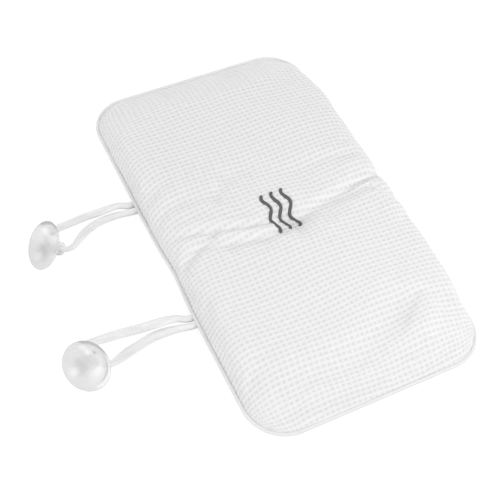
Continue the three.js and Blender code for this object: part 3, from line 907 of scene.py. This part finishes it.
def make_front():
    """The padded front with its weave, and its smooth surface before it was woven."""
    points, held, across, along, rows, columns = front_start()
    front = mesh_object("pad_front", points, grid_faces(rows, columns))
    set_attribute(front.data, "cells", waffle_cells(across, along))
    puffed(front, held)
    subdivided(front, WAFFLE_LEVELS)
    mesh = front.data
    smooth = coordinates(mesh)
    cells = vectors(mesh.attributes["cells"].data)
    ridge = waffle_height(cells[:, 0], cells[:, 1])
    edge_fade = np.clip((smooth[:, 2] - FRONT_BASE) / WAFFLE_EDGE_FADE, 0, 1)
    surface = BVHTree.FromPolygons(smooth.tolist(), [tuple(p.vertices) for p in mesh.polygons])
    sink = (1 - ridge) * WAFFLE_DEPTH * edge_fade
    set_coordinates(mesh, smooth - vectors(mesh.vertex_normals) * sink[:, None])
    # The ridges' share also sets the painted shade in the pits
    set_attribute(mesh, "ridge", ridge)
    set_uv(mesh, cells[:, :2])
    close_below(front)
    mesh.shade_smooth()
    mesh.materials.append(waffle_material())
    return front, surface


def make_back():
    depth = FRONT_BASE - BACK_CLEARANCE
    sides = edge_profile(BACK_SIDE, depth)
    half = flat_half(HALF_WIDTH, sides)
    half_along = flat_half(HALF_LENGTH, sides)
    across, along, rows, columns = flat_grid(-half, half, -half_along, half_along, BACK_CELL, BACK_CELL)
    x, y, share = padded_sheet(across, along, sides, sides, sides, sides)
    points = np.stack([x, y, FRONT_BASE - depth * share], axis=1)
    back = mesh_object("pad_back", points, [face[::-1] for face in grid_faces(rows, columns)])
    subdivided(back, BACK_LEVELS)
    close_below(back)
    back.data.shade_smooth()
    back.data.materials.append(plain_cloth_material("back_cloth", **BACK_CLOTH))
    return back


# Piping

def seam_line(inset, step):
    """Points round the pad's outline at an inset, about a step apart."""
    radius = CORNER_RADIUS - inset
    core = Vector((HALF_WIDTH - CORNER_RADIUS, HALF_LENGTH - CORNER_RADIUS))
    quarter_turn = math.pi / 2
    count = max(2, round(radius * quarter_turn / step))
    line = []
    for quarter, (sx, sy) in enumerate(FOUR_CORNERS):
        for turn in np.linspace(quarter, quarter + 1, count) * quarter_turn:
            line.append((sx * core.x + radius * math.cos(turn), sy * core.y + radius * math.sin(turn)))
    return evenly(np.array(line + line[:1]), step)[:-1]


def make_piping():
    x, y = seam_line(PIPING_RADIUS, PIPING_STEP).T
    centre = np.stack([seam_pulled(x, y), y, np.full(len(x), SEAM_HEIGHT)], axis=1)
    ahead = unit(np.roll(centre, -1, axis=0) - np.roll(centre, 1, axis=0))
    out = np.cross(ahead, UP)
    turns = np.linspace(0, 2 * np.pi, PIPING_SIDES, endpoint=False)
    rings = [centre + PIPING_RADIUS * (math.cos(turn) * out + math.sin(turn) * UP) for turn in turns]
    points = np.stack(rings, axis=1).reshape(-1, 3)
    piping = mesh_object("piping", points, grid_faces(len(centre), PIPING_SIDES, True, True))
    piping.data.materials.append(plain_cloth_material("piping_cloth", **PIPING_CLOTH))
    return piping


# Motif

def motif_line(row):
    """The middle of one wave line, as (across, along) points."""
    t = np.linspace(-0.5, 0.5, round(MOTIF_LENGTH / MOTIF_THREAD) + 1)
    across = MOTIF_CENTRE[0] + (row - (MOTIF_ROWS - 1) / 2) * MOTIF_SPACING
    swing = MOTIF_SWING * np.sin(2 * np.pi * MOTIF_WAVES * t)
    return np.stack([across + swing, MOTIF_CENTRE[1] + MOTIF_LENGTH * t], axis=1)


def stitched_line(name, line, surface):
    """A raised band of satin stitches along a line on the cloth, with round ends."""
    ahead = unit(np.gradient(line, axis=0))
    aside = np.stack([-ahead[:, 1], ahead[:, 0]], axis=1)
    to_end = np.minimum(np.linalg.norm(line - line[0], axis=1), np.linalg.norm(line - line[-1], axis=1))
    reach = np.clip(to_end / (MOTIF_STROKE / 2), MOTIF_LEAST_TAPER, 1)
    taper = np.sqrt(1 - (1 - reach) ** 2)
    rings = []
    for i, middle in enumerate(line):
        thread = MOTIF_THREAD_DEPTH * (i % 2)
        ring = []
        for turn in np.linspace(0, 2 * np.pi, MOTIF_SECTION, endpoint=False):
            x, y = middle + aside[i] * math.cos(turn) * taper[i] * MOTIF_STROKE / 2
            hit = surface.ray_cast(Vector((x, y, ABOVE_ALL)), DOWN)[0]
            ring.append((x, y, hit.z + math.sin(turn) * taper[i] * MOTIF_HEIGHT - thread))
        rings.append(ring)
    obj = tube_object(name, rings)
    station = np.repeat(np.arange(len(line)), MOTIF_SECTION)
    set_uv(obj.data, np.stack([station, np.tile(np.arange(MOTIF_SECTION), len(line))], axis=1))
    return obj


def make_motif(surface):
    material = thread_material()
    lines = [stitched_line(f"motif_line_{row + 1}", motif_line(row), surface) for row in range(MOTIF_ROWS)]
    for line in lines:
        line.data.materials.append(material)
    return lines


# Cord loops and suction cups

def joint(name):
    return next(j for j in frame["joints"] if j["name"] == name)


def mount(name):
    return next(m for m in frame["record"]["mounts"] if m["name"] == name)


def cord_line(side):
    """The middle of a loop's cord, from inside the seam round through the cup's eye and back."""
    hinge = Vector(joint(f"{side}_loop_swing")["pos_m"])
    tilt = joint(f"{side}_cup_tilt")
    eye, eye_axis = Vector(tilt["pos_m"]), Vector(tilt["axis"])

    def placed(point):
        out, along, height = point
        return Vector((hinge.x - out * MM, hinge.y + along * MM, height * MM))

    route = CORD_ROUTES[side]
    tail = (-CORD_TAIL, CORD_STRAND_HALF, CORD_SEAM_HEIGHT)
    root = (0, CORD_STRAND_HALF, CORD_SEAM_HEIGHT)
    mirrored = [(out, -along, height) for out, along, height in (root, tail)]
    points = [placed(p) for p in (tail, root, *route["outward"])]
    points += [eye + eye_axis * reach * MM for reach in (EYE_REACH, 0, -EYE_REACH)]
    points += [placed(p) for p in (*route["back"], *mirrored)]
    return smooth_line([tuple(p) for p in points], CORD_STEP), hinge, eye


def cord_halves(line, hinge, eye, flat_width):
    """Half the cord's width and height along it: round at the seam, gathered in the eye, flat between."""
    from_seam = smoothstep(hinge.x - line[:, 0], *FLAT_FROM_SEAM)
    from_eye = smoothstep(np.linalg.norm(line - np.array(eye), axis=1), *FLAT_FROM_EYE)
    radius = (CORD_DIAMETER_IN_EYE + (CORD_DIAMETER - CORD_DIAMETER_IN_EYE) * from_eye) / 2
    half_wide = radius + (flat_width / 2 - radius) * from_seam * from_eye
    return half_wide, radius ** 2 / half_wide


def make_cord(side):
    line, hinge, eye = cord_line(side)
    half_wide, half_high = cord_halves(line, hinge, eye, CORD_ROUTES[side]["flat_width"])
    ahead = unit(np.gradient(line, axis=0))
    wide = unit(np.cross(ahead, UP))
    high = np.cross(wide, ahead)
    length = lengths_along(line)
    rings = []
    stitches = []
    for turn in np.linspace(0, 2 * np.pi, CORD_SIDES, endpoint=False):
        around = CORD_STITCHES_ROUND * turn / (2 * np.pi)
        stitch = np.maximum(
            triangle_wave(length / CORD_STITCH + around), triangle_wave(length / CORD_STITCH - around),
        )
        sink = (1 - stitch) * CORD_STITCH_DEPTH
        across = wide * ((half_wide - sink) * math.cos(turn))[:, None]
        rise = high * ((half_high - sink) * math.sin(turn))[:, None]
        rings.append(line + across + rise)
        stitches.append(stitch)
    cord = tube_object(f"{side}_cord", np.stack(rings, axis=1))
    # The stitches' height also sets the painted shade between them
    set_attribute(cord.data, "stitch", np.stack(stitches, axis=1).ravel())
    station = np.repeat(length / CORD_DIAMETER, CORD_SIDES)
    set_uv(cord.data, np.stack([station, np.tile(np.arange(CORD_SIDES) / CORD_SIDES, len(line))], axis=1))
    return cord, line, hinge


def cup_axes(side):
    """The cup's own axes: along the eye, across it and out of its face."""
    face = Vector(mount(f"{side}_cup_rim")["axis"]).normalized()
    eye = Vector(joint(f"{side}_cup_tilt")["axis"]).normalized()
    across = face.cross(eye).normalized()
    turn = Matrix((eye, across, face)).transposed().to_4x4()
    return Matrix.Translation(Vector(joint(f"{side}_cup_tilt")["pos_m"])) @ turn


def cup_body(name):
    """A revolved cup: solid knob, flared outside, thin rim and a shallow dish."""
    corners = np.array([*CUP_KNOB, *CUP_FLARE, *CUP_RIM, *CUP_DISH], float) * MM
    profile = smooth_line(corners, CUP_PROFILE_STEP)[1:-1]
    turns = np.linspace(0, 2 * np.pi, CUP_SIDES, endpoint=False)
    return tube_object(name, [[(r * math.cos(t), r * math.sin(t), h) for t in turns] for r, h in profile])


def eye_cutter():
    bm = bmesh.new()
    bmesh.ops.create_cone(
        bm, cap_ends=True, segments=EYE_SIDES, radius1=EYE_RADIUS, radius2=EYE_RADIUS, depth=EYE_LENGTH,
        matrix=Matrix.Rotation(math.pi / 2, 4, "Y"),
    )
    mesh = bpy.data.meshes.new("eye")
    bm.to_mesh(mesh)
    bm.free()
    return add_object("eye", mesh)


def cup_painted_light_and_shade(points):
    """How light the vinyl looks round the cup, from 0 to 1, as painted highlights and painted shade in
    sectors.
    """
    turn = np.degrees(np.arctan2(points[:, 1], points[:, 0]))
    radius = np.hypot(points[:, 0], points[:, 1])
    painted_light_and_shade = np.full(len(points), CUP_MEAN_TONE)
    for sector in CUP_SECTORS:
        away = np.abs((turn - sector["turn"] + 180) % 360 - 180)
        inner, outer = (reach * MM for reach in sector["reach"])
        fade = sector["fade"] * MM
        within = smoothstep(radius, inner - fade, inner + fade)
        within = within * (1 - smoothstep(radius, outer - fade, outer + fade))
        painted_light_and_shade += sector["change"] * within * np.exp(-(away / sector["spread"]) ** CUP_SECTOR_POWER)
    return np.clip(painted_light_and_shade, 0, 1)


def make_cup(side, material):
    cup = cup_body(f"{side}_cup")
    cutter = eye_cutter()
    cut = cup.modifiers.new("eye", "BOOLEAN")
    cut.operation = "DIFFERENCE"
    cut.solver = "EXACT"
    cut.object = cutter
    applied(cup)
    bpy.data.objects.remove(cutter)
    # Painted highlights and painted shade round the cup, kept with its vertices
    set_attribute(cup.data, "painted_light_and_shade", cup_painted_light_and_shade(coordinates(cup.data)))
    cup.data.transform(cup_axes(side))
    cup.data.shade_smooth()
    cup.data.materials.append(material)
    return cup


# The whole pillow

def fold_with_pad(piece):
    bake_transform(piece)


def make_pad():
    front, surface = make_front()
    back = make_back()
    piping = make_piping()
    motif = make_motif(surface)
    for piece in (front, back, piping, *motif):
        fold_with_pad(piece)
    for half in ("right", "left"):
        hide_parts(f"{half}_front_panel", f"{half}_foam_pad")
        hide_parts(f"{half}_back_panel")
        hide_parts(f"{half}_piping", f"{half}_piping_core")


def make_loop(side, cord_look, cup_look):
    cord, line, hinge = make_cord(side)
    cord.data.materials.append(cord_look)
    cup = make_cup(side, cup_look)
    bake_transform(cord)
    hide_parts(f"{side}_cord_loop", f"{side}_cord_ends")
    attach(cup, f"{side}_cup")
    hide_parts(f"{side}_suction_cup")


def make_loops():
    cord_look = cord_material()
    cup_look = clear_material()
    for side in ("right", "left"):
        make_loop(side, cord_look, cup_look)


bpy.context.scene.view_settings.view_transform = "Standard"
make_camera()
make_world()
make_floor()
for lamp_name, lamp in LAMPS.items():
    area_light(lamp_name, **lamp)
make_loops()
make_pad()
